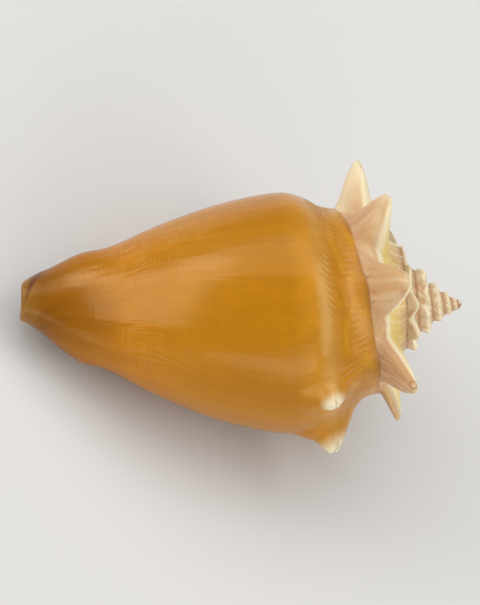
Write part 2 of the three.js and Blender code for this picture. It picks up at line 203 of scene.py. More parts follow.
# Outlines of the last whorl below its shoulder: turn, then [depth, radius] from the shoulder to the tip
OUTLINES: dict[float, Keys] = {
    -1: ((21, 19), (23.4, 19.3), (26, 19), (29.5, 17.2), (38, 12.2), (52, 7.2), (68, 3.9), (80, 2), (88, 1)),
    -0.75: ((23.4, 21.8), (30, 21.5), (38, 19.2), (52, 13.4), (68, 7.3), (80, 4.5), (88, 3)),
    -0.5: ((25.6, 24.6), (30, 25.6), (35, 25.9), (42.5, 24.7), (49, 23.1), (57, 20.1), (65, 16.4), (72, 13),
           (76, 12), (82.6, 7.3), (88.5, 2.6)),
    -0.25: ((28.6, 24.6), (35, 25), (42.5, 24), (49, 22), (57, 18.5), (65, 14.2), (72, 10.6), (76, 8.8),
            (82, 7.4), (88.3, 7)),
    0: ((33.8, 22.2), (38, 22.1), (42.5, 21.4), (49, 19.8), (57, 17.1), (65, 13.7), (72, 10.8), (76, 10),
        (82.6, 6.9), (86.5, 5), (88.4, 3.4)),
    0.07: ((35.3, 23.4), (42.5, 22.9), (49, 21.3), (57, 18.5), (65, 14.8), (72, 11.6), (76, 10.3),
           (82.6, 7.3), (86.5, 5.3), (88.3, 3.7)),
    0.16: ((38, 32), (42.5, 33), (49, 31.2), (57, 27.2), (65, 21.8), (72, 16.9), (76, 14.3), (82.6, 9.8),
           (87, 6.5)),
}

# Course of the lip and of every growth line: [v, turns ahead of the whorl's own turn]
GROWTH_LINE: Keys = ((0, 0), (0.25, -0.012), (0.5, 0.004), (1, 0), (1.35, 0.012), (1.6, 0.012),
                     (1.72, -0.008), (1.8, 0.002), (1.86, -0.01), (1.92, -0.06), (1.96, -0.14), (2, -0.3))

# Spines of the shoulder: degrees back from turn 0, height, lean towards the apex in degrees, and for a
# stout one how much broader its foot is
SPINES = ((138, 3, 8), (174, 6.1, 3), (210, 5.4, 28), (252, 6.6, 15), (288, 7, 12), (324, 7.8, 8),
          (360, 10.3, -2), (396, 9, 20), (440, 9.8, 28), (492, 9.7, 33), (546, 7.6, 22, 1.35), (588, 6.2, 15),
          (636, 5.6, 15), (690, 5, -12), (738, 1.3, -15), (774, 1.8, 10), (810, 2.4, 30), (846, 2.3, 30))
KNOB_START = 882
KNOB_SPACING = 31
KNOB_HEIGHT = 1.5
KNOB_SHRINK = 0.955
KNOB_COUNT = 36
KNOB_LEAN = 30


def all_spines() -> list[Spine]:
    """Spines of the young whorls, then the even row of knobs that goes on to the apex."""
    knobs = [(KNOB_START + i * KNOB_SPACING, KNOB_HEIGHT * KNOB_SHRINK**i, KNOB_LEAN)
             for i in range(KNOB_COUNT)]
    return [Spine(-back / DEGREES, height, math.radians(lean), *stout)
            for back, height, lean, *stout in (*SPINES, *knobs)]


@dataclass
class GrowthLaw:
    """Bare and spined surface of the shell, and of the bore inside it, as functions of growth.

    Everywhere, turn is the turn of the coil and line the growth line, both in turns, and v is the place
    across the whorl: 0 at the suture, 0.5 at the shoulder, 1 where the next whorl takes hold, 2 at the tip.
    """

    length: float = 88.5
    growth: float = 1.66
    apex_turn: float = -7.2
    lip_turn: float = 0.15
    wall: float = 2.4
    lip_wall: float = 2.2
    front_thinning: float = 0.9
    lip_rounding: float = 0.45
    ramp_sag: float = 0.09
    fillet: float = 0.14
    young_fillet: float = 0.25
    old_fillet: float = 0.36
    old_front_foot: float = 0.12
    bore_top: float = 1.1
    bore_front: float = 0.5
    bore_closing: tuple[float, float] = (0.3, 0.95)
    tip_wall: float = 0.035
    spine_reach: float = 1.5
    spine_foot: float = 1.15
    young_foot: tuple[float, float] = (0.3, -0.2)
    foot_front: tuple[float, float] = (0.72, 1.02)
    keel_share: float = 0.4
    keel_length: float = 8.5
    keel_width: float = 1.4
    keel_flare: float = 1.3
    spine_flare: float = 1.25
    tip_radius: float = 0.28
    tip_pinch: float = 0.5
    spines: list[Spine] = field(default_factory=all_spines)

    def __post_init__(self) -> None:
        """Make the curves that the law reads."""
        self.suture_depth = Curve(SUTURE_DEPTH, grows=True)
        self.suture_radius = Curve(SUTURE_RADIUS, grows=True)
        self.shoulder_depth = Curve(SHOULDER_DEPTH, grows=True)
        self.shoulder_radius = Curve(SHOULDER_RADIUS, grows=True)
        self.tip_depth = Curve([(turn, outline[-1][0]) for turn, outline in OUTLINES.items()])
        self.growth_line = Curve(GROWTH_LINE)
        self.outlines = [(outline[0][0], outline[-1][0], Curve(outline)) for outline in OUTLINES.values()]
        self.round = Spline([-1.25, *OUTLINES])

    def face(self, turn: Array, part: Array) -> Array:
        """Whorl's face below its shoulder.

        Args:
            turn: turn of the coil.
            part: 0 at the shoulder and 1 at the front tip.

        Returns:
            Depth and radius of each point.
        """
        top = self.shoulder_depth(turn)
        late = np.maximum(turn, -1)
        radii = [outline(start + part * (end - start)) for start, end, outline in self.outlines]
        radii.insert(0, radii[0] * self.growth**-0.25)
        radius = self.round.read(late, np.array(radii)) * self.growth ** np.minimum(0, turn + 1)
        return np.array([top + part * (self.tip_depth(late) - top), radius])

    def part_at(self, turn: Array, depth: Array) -> Array:
        """Part of the way from shoulder to tip at which a depth lies."""
        top = self.shoulder_depth(turn)
        return (depth - top) / (self.tip_depth(np.maximum(turn, -1)) - top)

    def suture(self, turn: Array) -> Array:
        """Depth and radius of the line where a whorl meets the one before."""
        depth = self.suture_depth(turn)
        on_face = self.face(turn - 1, self.part_at(turn - 1, depth))[1]
        return np.array([depth, np.where(turn < 0, self.suture_radius(turn), on_face)])

    def shoulder(self, turn: Array) -> Array:
        """Depth and radius of the shoulder's corner."""
        return np.array([self.shoulder_depth(turn), self.shoulder_radius(turn)])

    def ramp(self, turn: Array, v: Array) -> Array:
        """Slightly hollow ramp from the suture, v 0, to the shoulder, v 0.5."""
        start, end = self.suture(turn), self.shoulder(turn)
        run = end - start
        k = 2 * v
        sag = self.ramp_sag * 4 * k * (1 - k) * smoothstep(-2.7, -2, turn)
        return start + run * k + np.array([run[1], -run[0]]) * sag

    def flank(self, turn: Array, v: Array) -> Array:
        """Whorl below its shoulder; older whorls end at v 1, where the next one takes hold."""
        following = self.suture(turn + 1)
        near = self.part_at(turn, following[0])
        part = np.where(v > 1, near + (v - 1) * (1 - near), near * (2 * v - 1))
        face = self.face(turn, part)
        straight = mix(self.shoulder(turn), following, 2 * v - 1)
        opened = smoothstep(self.lip_turn - 1, self.lip_turn - 0.85, turn)
        return np.where(v > 1, face, mix(straight, face, opened))

    def section(self, turn: Array, v: Array) -> Array:
        """Bare section of the whorl, with its shoulder rounded.

        Args:
            turn: turn of the coil.
            v: place across the whorl.

        Returns:
            Depth and radius of each point.
        """
        corner = self.shoulder(turn)
        fillet = self.fillet + (self.young_fillet - self.fillet) * smoothstep(-1, -0.7, turn)
        fillet = fillet + (self.old_fillet - self.fillet) * smoothstep(-2, -2.7, turn)
        k = np.clip((v - 0.5 + fillet) / (2 * fillet), 0, 1)
        before = mix(self.ramp(turn, np.minimum(v, 0.5 - fillet)), corner, k)
        after = mix(corner, self.flank(turn, np.maximum(v, 0.5 + fillet)), k)
        return mix(before, after, k)

    def from_shoulder(self, turn: Array, v: Array) -> tuple[Array, Array]:
        """Radius of the shoulder's corner, and each point's distance from it, below 0 on the ramp."""
        corner = self.shoulder(turn)
        other = np.where(v < 0.5, self.suture(turn), self.section(turn, v))
        distance = np.hypot(*(corner - other))
        return corner[1], np.where(v < 0.5, -(1 - 2 * v) * distance, distance)

    def spine_shift(self, turn: Array, v: Array) -> Array:
        """Shift in depth and radius that the spines give to points of the whorl.

        Args:
            turn: turn of the coil.
            v: place across the whorl.

        Returns:
            Shift in depth and radius of each point.
        """
        corner, along = self.from_shoulder(turn, v)
        young = smoothstep(-1, -0.8, turn)
        held = 1 - (1 - young) * (1 - self.old_front_foot) * smoothstep(*self.foot_front, v)
        shift = np.zeros((2, len(turn)))
        for spine in self.spines:
            across = (turn - spine.turn) * FULL_TURN * corner
            near = (np.abs(across) < self.spine_reach * spine.width) & (v <= self.spine_reach)
            height = self.lift(spine, across[near], along[near], young[near]) * held[near]
            shift[0, near] -= height * math.sin(spine.lean)
            shift[1, near] += height * math.cos(spine.lean)
        return shift

    def lift(self, spine: Spine, across: Array, along: Array, young: Array) -> Array:
        """How far a spine lifts points that lie this far across and along its foot."""
        tail = self.keel_share * young
        foot = spine.width * (self.spine_foot + np.where(along < 0, *self.young_foot) * young)
        reach = np.hypot(across / spine.width, along / foot)
        blunt = self.tip_radius
        body = np.maximum(0, (1 - np.hypot(reach, blunt)) / (1 - blunt)) ** self.spine_flare
        keel = (across / (self.keel_width * spine.width)) ** 2 + (along / self.keel_length) ** 2
        keel = np.maximum(0, 1 - keel) ** self.keel_flare
        return spine.height * ((1 - tail) * body + tail * keel)

    def gather(self, turn: Array, v: Array) -> tuple[Array, Array, Array]:
        """Draw grid points in towards the spines, so that steep flanks get as many as flat ones.

        Args:
            turn: turn of the coil.
            v: place across the whorl.

        Returns:
            The new turns, the new places across, and how near each point is to a spine's tip.
        """
        corner, along = self.from_shoulder(turn, np.clip(v, 0, 1))
        hold = smoothstep(0, 0.15, v) * smoothstep(1, 0.85, v)
        tip = np.zeros(len(turn))
        new_turn, new_v = turn.copy(), v.copy()
        for spine in self.spines:
            across = (turn - spine.turn) * FULL_TURN * corner
            reach = np.hypot(across, along / self.spine_foot) / spine.width
            near = reach < 1
            factor = 1 + hold * (np.maximum(reach, 1e-6) ** self.tip_pinch - 1)
            new_turn = np.where(near, spine.turn + (turn - spine.turn) * factor, new_turn)
            new_v = np.where(near, 0.5 + (v - 0.5) * factor, new_v)
            tip = np.where(near, np.maximum(tip, 1 - reach), tip)
        return new_turn, new_v, tip

    def place(self, turn: Array, point: Array) -> Array:
        """Rows of X, Y, Z for points of the section, given as depth and radius."""
        angle = -FULL_TURN * turn
        return np.stack([self.length - point[0], point[1] * np.cos(angle), point[1] * np.sin(angle)], axis=-1)

    def bore_reach(self, line: Array, v: Array) -> Array:
        """Place on the shell that a column of the bore follows; deep inside, the bore ends sooner."""
        back = np.maximum(0, self.lip_turn - line)
        wall = self.tip_wall * (1 - np.exp(-back / self.tip_wall))
        front = 2 - wall - self.bore_front * smoothstep(*self.bore_closing, back)
        reach = self.bore_top + (v - self.bore_top) * (front - self.bore_top) / (2 - self.bore_top)
        return np.where(v <= self.bore_top, v, reach)

    def pillar(self, line: Array, v: Array) -> Array:
        """Section of the pillar: the whorl before, seen from within the bore."""
        reach = self.bore_reach(line, np.maximum(v, self.bore_top))
        return self.section(line + self.growth_line(reach) - 1, reach)

    def wall_inside(self, line: Array, turn: Array, v: Array) -> Array:
        """Section points one wall's thickness below the outside."""
        step = 1e-3
        along = self.section(turn, np.minimum(v + step, 2)) - self.section(turn, np.maximum(v - step, 0))
        near_lip = smoothstep(self.lip_turn - 0.25, self.lip_turn, line)
        thickness = self.wall + (self.lip_wall - self.wall) * near_lip
        thickness = (thickness - self.front_thinning * smoothstep(1.55, 1.95, v)) / np.hypot(*along)
        return self.section(turn, v) + np.array([along[1], -along[0]]) * thickness

    def bore_wall(self, line: Array, v: Array) -> Array:
        """Points on the inside of the outer wall, which closes onto the pillar at both its ends."""
        reach = self.bore_reach(line, v)
        turn = line + self.growth_line(reach)
        opened = smoothstep(0, 0.35, v)
        top = np.full_like(line, self.bore_top)
        point = mix(self.pillar(line, top), self.wall_inside(line, turn, reach), opened)
        turn = mix(line + self.growth_line(top), turn, opened)
        close = np.maximum(0, (v - 1.93) / 0.07)
        point = mix(self.pillar(line, v), point, np.sqrt(np.maximum(0, 1 - close**2)))
        return self.place(turn, point)

    def bore_pillar(self, line: Array, v: Array) -> Array:
        """Points on the pillar, inside the bore."""
        return self.place(line + self.growth_line(self.bore_reach(line, v)), self.pillar(line, v))


def put(name: str, data: bpy.types.ID, place: Matrix | None = None) -> Object:
    """Put an object in the scene, at the origin or at the given place."""
    item = bpy.data.objects.new(name, data)
    if place is not None:
        item.matrix_world = place
    bpy.context.scene.collection.objects.link(item)
    return item


class Waver:
    """Seeded smooth noise along one line, between -1 and 1."""

    def __init__(self, seed: int, count: int = 1024) -> None:
        """Draw the noise's values from a seed; the noise repeats after count of them."""
        self.values = np.random.default_rng(seed).uniform(-1, 1, count)

    def __call__(self, place: Array) -> Array:
        """Noise at the given places, one value drawn for each whole number."""
        whole = np.floor(place).astype(int)
        k = smoothstep(0, 1, place - whole)
        low, high = self.values[whole % len(self.values)], self.values[(whole + 1) % len(self.values)]
        return low + (high - low) * k


@dataclass
class Relief:
    """Low relief that the growing shell leaves on its outside."""

    wrinkles_per_turn: float = 92
    wrinkle_height: float = 0.24
    wrinkle_bow: tuple[float, float] = (1.6, 9.5)
    wrinkle_middle: float = 0.85
    wrinkle_end: float = 0.42
    calm_turn: float = -0.3
    calm_width: float = 0.025
    crease_level: float = 0.7
    old_wrinkles_per_turn: float = 74
    old_wrinkle_height: float = 0.2
    ring_width: float = 0.24
    ring_depth: float = 0.2
    swells_per_turn: float = 26
    swell_height: float = 0.06
    lines_per_turn: float = 150
    line_height: float = 0.018
    wander: Waver = field(default_factory=lambda: Waver(3))
    strength: Waver = field(default_factory=lambda: Waver(5))
    swell: Waver = field(default_factory=lambda: Waver(8))
    lines: Waver = field(default_factory=lambda: Waver(13))

    def crease(self, phase: Array) -> Array:
        """Round folds with narrow creases between them, below 0 at the crease."""
        return np.abs(np.sin(math.pi * phase)) ** 0.7 - self.crease_level

    def ramp_wrinkles(self, turn: Array, v: Array) -> Array:
        """Bowed wrinkles on the last whorl's ramp."""
        across = v / self.wrinkle_end
        band = smoothstep(0.05, 0.3, across) * smoothstep(1.25, 0.95, across) * smoothstep(-0.95, -0.8, turn)
        aside = across - self.wrinkle_middle
        bow = aside**2 * np.where(aside < 0, *self.wrinkle_bow)
        phase = turn * self.wrinkles_per_turn - bow + 0.6 * self.wander(turn * 17 + 2 * across)
        patch = 0.65 + 0.35 * self.strength(turn * 21 + 2 * across)
        calm = 1 - 0.7 * np.exp(-((turn - self.calm_turn) / self.calm_width) ** 2)
        return self.wrinkle_height * band * patch * calm * self.crease(phase)

    def old_wrinkles(self, turn: Array, v: Array) -> Array:
        """Slanting wrinkles on the whorls of the spire."""
        band = smoothstep(0, 0.15, v) * smoothstep(1, 0.85, v) * smoothstep(-0.7, -0.95, turn)
        phase = turn * self.old_wrinkles_per_turn - 2.5 * v + 0.9 * self.wander(turn * 19 + 2 * v + 40)
        patch = 0.55 + 0.45 * self.strength(turn * 23 + 3 * v + 90)
        size = 1.35 ** np.maximum(turn + 1, -3)
        return self.old_wrinkle_height * size * band * patch * self.crease(phase)

    def worn_rings(self, point: Array) -> Array:
        """Cut a small round pit with a raised middle into each worn spine tip.

        Args:
            point: finished points of the outside, in millimetres.

        Returns:
            The points, with the pits pressed in.
        """
        for tip in WORN_TIPS:
            gap = np.linalg.norm(point - np.array(tip.at), axis=1)
            groove = np.exp(-((gap - tip.radius) / self.ring_width) ** 2)
            point = point - (self.ring_depth * groove)[:, None] * np.array(tip.way)
        return point

    def height(self, turn: Array, v: Array, tip: Array) -> Array:
        """Relief in millimetres above the bare surface.

        Args:
            turn: turn of the coil.
            v: place across the whorl.
            tip: how near each point is to a spine's tip.

        Returns:
            The height of each point.
        """
        face = smoothstep(0.1, 0.4, v) * smoothstep(1.98, 1.8, v)
        swell = self.swell_height * face * self.swell(turn * self.swells_per_turn + 0.6 * v + 200)
        course = turn * self.lines_per_turn + 0.7 * self.wander(6 * v)
        lines = self.line_height * face * self.lines(course + 300)
        total = self.ramp_wrinkles(turn, v) + self.old_wrinkles(turn, v) + swell + lines
        return total * (1 - 0.6 * smoothstep(0.2, 0.8, tip))


@dataclass(frozen=True)
class Resting:
    """How the shell lies: its axis frame's upward direction and where the front tip's axis comes to lie."""

    up: tuple[float, float, float] = (0.3182, 0.4308, 0.8445)
    at: tuple[float, float, float] = (-40.971, -0.187, 5.148)

    def turn(self) -> Matrix:
        """Rotation from the shell's axis frame to the floor's, with the apex kept towards +X."""
        up = Vector(self.up).normalized()
        forward = (Vector((1, 0, 0)) - up * up.x).normalized()
        return Matrix((forward, up.cross(forward), up))

    def matrix(self) -> Matrix:
        """Place of the shell on the floor, from millimetres to metres."""
        return Matrix.Translation(Vector(self.at) * MM) @ (self.turn() * MM).to_4x4()


@dataclass
class Shell:
    """The whole shell: body whorl, spire, outer lip, canal and bore, welded into one closed mesh."""

    law: GrowthLaw = field(default_factory=GrowthLaw)
    relief: Relief = field(default_factory=Relief)
    resting: Resting = field(default_factory=Resting)
    rows_per_turn: int = 316
    gathered_side: float = -0.24
    gathering: float = 0.5
    ramp_columns: int = 32
    shoulder_columns: int = 16
    lip_steps: int = 8
    face_columns: int = 66
    bore_rows: int = 64
    bore_turns: float = 0.98
    column_steps: tuple[int, ...] = (1, 2, 2, 4, 4, 8)
    weld_distance: float = 5e-4

    def __post_init__(self) -> None:
        """Lay out the columns across a whorl."""
        upper = [*between(0, 0.5, self.ramp_columns)[:-1], *between(0.5, 1, self.shoulder_columns)]
        k = between(0, 1, self.face_columns)
        self.upper = np.array(upper)
        self.front = self.law.bore_top + (2 - self.law.bore_top) * (1 - (1 - k) ** 1.25)
        rim = between(1, self.law.bore_top, self.lip_steps)
        self.body = np.array([*upper[:-1], *rim[:-1], *self.front])

    def outside(self, line: Array, v: Array) -> tuple[Array, Array]:
        """Finished outside of the shell.

        Args:
            line: growth line of each point, in turns.
            v: place across the whorl.

        Returns:
            The points, and how near each one is to a spine's tip.
        """
        law = self.law
        turn, v, tip = law.gather(line + law.growth_line(v), v)
        bare = law.section(turn, v)
        step = 2e-3
        along = law.section(turn, np.minimum(v + step, 2)) - law.section(turn, np.maximum(v - step, 0))
        outward = np.array([-along[1], along[0]]) / np.hypot(*along)
        ends = smoothstep(law.lip_turn - 1, law.lip_turn - 0.93, line)
        ends *= smoothstep(law.lip_turn, law.lip_turn - 0.03, line)
        relief = self.relief.height(turn, v, tip) * np.where(v < 1, smoothstep(1, 0.9, v), ends)
        point = bare + law.spine_shift(turn, v) * smoothstep(0, 0.12, v) + outward * relief
        carried = law.spine_shift(turn - 1, np.ones_like(v)) * np.maximum(0, 1 - v / 0.22) ** 2
        return self.relief.worn_rings(law.place(turn, point + carried)), tip

    def lip_edge(self, v: Array, step: float) -> Array:
        """Points of the lip's rounded edge.

        Args:
            v: place along the lip.
            step: 0 on the outside and 1 on the inside.

        Returns:
            One point for each v.
        """
        law = self.law
        line = np.full_like(v, law.lip_turn)
        outer = self.outside(line, v)[0]
        if step == 0:
            return outer
        inner = law.bore_wall(line, v)
        turn = line + law.growth_line(v)
        ahead = law.place(turn + 1e-3, law.section(turn, v)) - law.place(turn, law.section(turn, v))
        ahead /= np.linalg.norm(ahead, axis=1, keepdims=True)
        thickness = np.linalg.norm(outer - inner, axis=1, keepdims=True)
        swing = math.pi * step
        rounded = (outer + inner) / 2 + (outer - inner) * 0.5 * math.cos(swing)
        rounded = rounded + ahead * law.lip_rounding * thickness * math.sin(swing)
        seam = self.outside(np.full(2, law.lip_turn - 1), np.array([1, 1 + (law.bore_top - 1) * step]))[0]
        root = outer + seam[1] - seam[0]
        grown = root + (rounded - root) * smoothstep(0, 0.3, v)[:, None]
        end = outer + (self.outside(line - 1, v)[0] - outer) * step
        return grown + (end - grown) * smoothstep(1.9, 2, v)[:, None]

    def sheet(self, mesh: BMesh, points: Array, line: object, v: Array,
              tip: object = 0.0, inside: object = 0.0) -> None:
        """Add one sheet of the shell as a grid whose corners are moved to their places.

        Args:
            mesh: the mesh being built.
            points: rows of columns of points.
            line: growth line of each point, or of each row.
            v: place across the whorl of each point, or of each column.
            tip: how near each point is to a spine's tip.
            inside: how far inside the shell each point is.
        """
        rows, columns = points.shape[:2]
        grid = bmesh.ops.create_grid(mesh, x_segments=columns - 1, y_segments=rows - 1, size=1)
        verts = sorted(grid["verts"], key=lambda vert: vert.index)
        across = np.array([vert.co.x for vert in verts])
        down = np.array([vert.co.y for vert in verts])
        index = np.rint((down + 1) / 2 * (rows - 1)).astype(int) * columns
        index += np.rint((across + 1) / 2 * (columns - 1)).astype(int)
        flat = points.reshape(-1, 3)
        line, v, tip, inside = (np.broadcast_to(mark, (rows, columns)).ravel()
                                for mark in (line, v, tip, inside))
        growth_map, marks_map = (mesh.loops.layers.uv[name] for name in UV_MAPS)
        for vert, i in zip(verts, index):
            vert.co = flat[i]
            for loop in vert.link_loops:
                loop[growth_map].uv = (line[i], v[i])
                loop[marks_map].uv = (tip[i], inside[i])

    def outside_sheet(self, mesh: BMesh, lines: Array, columns: Array) -> None:
        """Add a stretch of the outside.

        Args:
            mesh: the mesh being built.
            lines: growth lines of the rows.
            columns: places across the whorl, one row for each line.
        """
        line = np.repeat(lines[:, None], columns.shape[1], axis=1)
        points, tip = self.outside(line.ravel(), columns.ravel())
        self.sheet(mesh, points.reshape(*line.shape, 3), line, columns, tip.reshape(line.shape))

    def rows(self, first: int, last: int) -> Array:
        """Growth lines of rows counted from the lip; they stand closest on the side where wrinkles show."""
        lip = self.law.lip_turn
        steps = np.arange(first, last + 1) / self.rows_per_turn
        shift = self.gathering / FULL_TURN
        start = FULL_TURN * (lip - self.gathered_side)
        for _ in range(60):
            start = FULL_TURN * (lip - self.gathered_side + shift * math.sin(start))
        wave = np.sin(FULL_TURN * steps + start) - math.sin(start)
        return lip + steps - shift * wave

    def body_whorl(self, mesh: BMesh) -> None:
        """Add the last whorl, from where it frees itself of the lip to the lip."""
        lines = self.rows(-self.rows_per_turn, 0)
        self.outside_sheet(mesh, lines, np.tile(self.body, (len(lines), 1)))

    def older_columns(self, turns_back: int) -> Array:
        """Columns of an older whorl; neighbours fall together, so that small whorls get few faces."""
        step = self.column_steps[min(turns_back, len(self.column_steps) - 1)]
        i = np.arange(len(self.upper))
        past = i - self.ramp_columns
        kept = np.where(past <= 0, i // step * step, self.ramp_columns + past // step * step)
        kept[-1] = i[-1]
        return self.upper[kept]

    def spire(self, mesh: BMesh) -> None:
        """Add all older whorls, from the apex to the start of the last whorl."""
        count = round((self.law.lip_turn - 1 - self.law.apex_turn) * self.rows_per_turn)
        back = np.arange(count, -1, -1)
        columns = np.array([self.older_columns(max(0, i - 1) // self.rows_per_turn) for i in back])
        self.outside_sheet(mesh, self.rows(-count - self.rows_per_turn, -self.rows_per_turn), columns)

    def lip(self, mesh: BMesh) -> None:
        """Add the lip's rounded edge."""
        steps = between(0, 1, self.lip_steps)
        points = np.array([self.lip_edge(self.body, step) for step in steps])
        self.sheet(mesh, points, self.law.lip_turn, self.body, inside=steps[:, None])

    def bore(self, mesh: BMesh) -> None:
        """Add the open bore: down the outer wall and back up the pillar, loop after loop."""
        law = self.law
        upwards = self.front[:-1][::-1]
        rows = []
        depths = between(0, 1, self.bore_rows)
        lines = law.lip_turn - self.bore_turns * depths**1.1
        for depth, line in zip(depths, lines):
            if depth == 0:
                wall = self.lip_edge(self.body, 1)
                pillar = self.outside(np.full(len(upwards), law.lip_turn - 1), upwards)[0]
            else:
                wall = law.bore_wall(np.full(len(self.body), line), self.body)
                pillar = law.bore_pillar(np.full(len(upwards), line), upwards)
            loop = np.concatenate([wall, pillar])
            narrowing = 0.6 * float(smoothstep(0.9, 1, depth))
            rows.append(loop + (loop.mean(axis=0) - loop) * narrowing)
        across = np.concatenate([self.body, 4 - upwards])
        self.sheet(mesh, np.array(rows), lines[:, None], across, inside=1.0)

    def close_ends(self, mesh: BMesh) -> None:
        """Close the apex, the canal's tip and the inner end of the bore."""
        edges = [edge for edge in mesh.edges if edge.is_boundary]
        ends = bmesh.ops.holes_fill(mesh, edges=edges, sides=0)["faces"]
        for end, name in product(ends, UV_MAPS):
            layer = mesh.loops.layers.uv[name]
            for loop in end.loops:
                beside = next(other for other in loop.vert.link_loops if other.face is not end)
                loop[layer].uv = beside[layer].uv
        centres = bmesh.ops.poke(mesh, faces=ends, center_mode="MEAN")["verts"]
        apex = max(centres, key=lambda vert: vert.co.x)
        apex.co.x = max(apex.co.x, self.law.length - 0.02)

    def build(self) -> Object:
        """Build the shell's mesh at rest.

        Returns:
            The shell's object, at the origin, with its place in its mesh.
        """
        mesh = bmesh.new()
        for name in UV_MAPS:
            mesh.loops.layers.uv.new(name)
        for part in (self.body_whorl, self.spire, self.lip, self.bore):
            part(mesh)
            mesh.verts.index_update()
            LOG.info("%s: %d points so far", part.__name__, len(mesh.verts))
        bmesh.ops.remove_doubles(mesh, verts=mesh.verts, dist=self.weld_distance)
        self.close_ends(mesh)
        bmesh.ops.recalc_face_normals(mesh, faces=mesh.faces)
        bmesh.ops.transform(mesh, matrix=self.resting.matrix(), verts=mesh.verts)
        for face in mesh.faces:
            face.smooth = True
        data = bpy.data.meshes.new("conch_shell")
        mesh.to_mesh(data)
        open_edges = sum(not edge.is_manifold for edge in mesh.edges)
        LOG.info("shell: %d faces, %d open edges", len(mesh.faces), open_edges)
        mesh.free()
        return put("conch_shell", data)


def screen(colour: tuple) -> tuple:
    """Linear colour of a screen colour given from 0 to 255."""
    parts = [value / 255 for value in colour]
    linear = [value / 12.92 if value <= 0.04045 else ((value + 0.055) / 1.055) ** 2.4 for value in parts]
    return (*linear, 1.0)


class Value:
    """Number or colour that a material works out at each point; sums and products of values are values."""

    def __init__(self, paint: "Paint", socket: NodeSocket) -> None:
        """Keep the material's paint and the socket that gives the value."""
        self.paint = paint
        self.socket = socket

    def __add__(self, other: object) -> "Value":
        """Sum."""
        return self.paint.math("ADD", self, other)

    def __sub__(self, other: object) -> "Value":
        """Difference."""
        return self.paint.math("SUBTRACT", self, other)

    def __rsub__(self, other: float) -> "Value":
        """Difference from a plain number."""
        return self.paint.math("SUBTRACT", other, self)

    def __mul__(self, other: object) -> "Value":
        """Product."""
        return self.paint.math("MULTIPLY", self, other)

    def most(self, other: "Value") -> "Value":
        """The greater of two values."""
        return self.paint.math("MAXIMUM", self, other)

    def ease(self, low: float, high: float, top: float = 1.0) -> "Value":
        """Ease from 0 at low to top at high."""
        inputs = {"Value": self, "From Min": low, "From Max": high, "To Min": 0.0, "To Max": top}
        return self.paint.result("MapRange", inputs, interpolation_type="SMOOTHSTEP")

    def hump(self, middle: float, reach: float, top: float) -> "Value":
        """Soft hump, with its top at its middle and 0 at its reach."""
        aside = (self - middle) * (1 / reach)
        return (aside * aside).ease(1.0, 0.0, top)


class Paint:
    """Writes one material's nodes: each method adds a node and hands back its result."""

    def __init__(self, name: str) -> None:
        """Start an empty material with the given name."""
        self.material = bpy.data.materials.new(name)
        self.material.use_nodes = True
        self.tree = self.material.node_tree
        self.shader = self.tree.nodes["Principled BSDF"]

    def feed(self, node: Node, inputs: dict) -> None:
        """Link values to a node's inputs, or set the inputs to plain numbers, places or colours."""
        for key, value in inputs.items():
            if isinstance(value, Value):
                self.tree.links.new(value.socket, node.inputs[key])
            else:
                node.inputs[key].default_value = value

    def node(self, kind: str, inputs: dict, **settings: object) -> Node:
        """Add a node.

        Args:
            kind: the node's type, without the words that all types start with.
            inputs: what each input gets, by the input's name or number.
            settings: the node's own settings.

        Returns:
            The node.
        """
        node = self.tree.nodes.new("ShaderNode" + kind)
        for key, setting in settings.items():
            setattr(node, key, setting)
        self.feed(node, inputs)
        return node

    def result(self, kind: str, inputs: dict, output: int | str = 0, **settings: object) -> Value:
        """Add a node and hand back one of its outputs."""
        return Value(self, self.node(kind, inputs, **settings).outputs[output])

    def uv(self, name: str) -> tuple[Value, Value]:
        """The two numbers of one of the piece's UV maps."""
        split = self.node("SeparateXYZ", {0: self.result("UVMap", {}, uv_map=name)})
        return Value(self, split.outputs[0]), Value(self, split.outputs[1])

    def place(self) -> Value:
        """Place on the piece, in metres."""
        return self.result("TexCoord", {}, "Object")

    def math(self, operation: str, first: object, second: object = 0.0) -> Value:
        """Result of a Math node."""
        return self.result("Math", {0: first, 1: second}, operation=operation)

    def ramp(self, value: Value, stops: Stops) -> Value:
        """Colour of a ramp whose stops are given as places and screen colours."""
        node = self.node("ValToRGB", {0: value})
        elements = node.color_ramp.elements
        while len(elements) < len(stops):
            elements.new(0.5)
        for element, (place, colour) in zip(elements, stops):
            element.position = place
            element.color = screen(colour)
        return Value(self, node.outputs[0])

    def blend(self, factor: object, first: object, second: object, kind: str = "MIX") -> Value:
        """Mix of two colours; a plain one has three numbers for the screen or four linear ones."""
        first, second = (screen(tone) if isinstance(tone, tuple) and len(tone) == 3 else tone
                         for tone in (first, second))
        return self.result("Mix", {0: factor, 6: first, 7: second}, 2, data_type="RGBA", blend_type=kind)

    def spread(self, x: Value, y: Value) -> Value:
        """A place made of two numbers."""
        return self.result("CombineXYZ", {0: x, 1: y, 2: 0.0})

    def noise(self, place: Value, scale: float, detail: float = 2.0, rough: float = 0.5) -> Value:
        """Value of a noise texture."""
        inputs = {"Vector": place, "Scale": scale, "Detail": detail, "Roughness": rough}
        return self.result("TexNoise", inputs)

    def bump(self, height: Value, distance: float, **under: Value) -> Value:
        """Surface direction tilted by a height, whose whole range is the distance in metres."""
        return self.result("Bump", {"Strength": 1.0, "Distance": distance, "Height": height, **under})


@dataclass(frozen=True)
class Grain:
    """Streaky noise that follows growth: how fine it is along the coil and across the whorl."""

    along: float
    across: float
    detail: float = 2.0


@dataclass(frozen=True)
class Spot:
    """Soft round spot: its middle and reach as growth line and place across, and its strength."""

    at: tuple[float, float]
    reach: tuple[float, float]
    top: float


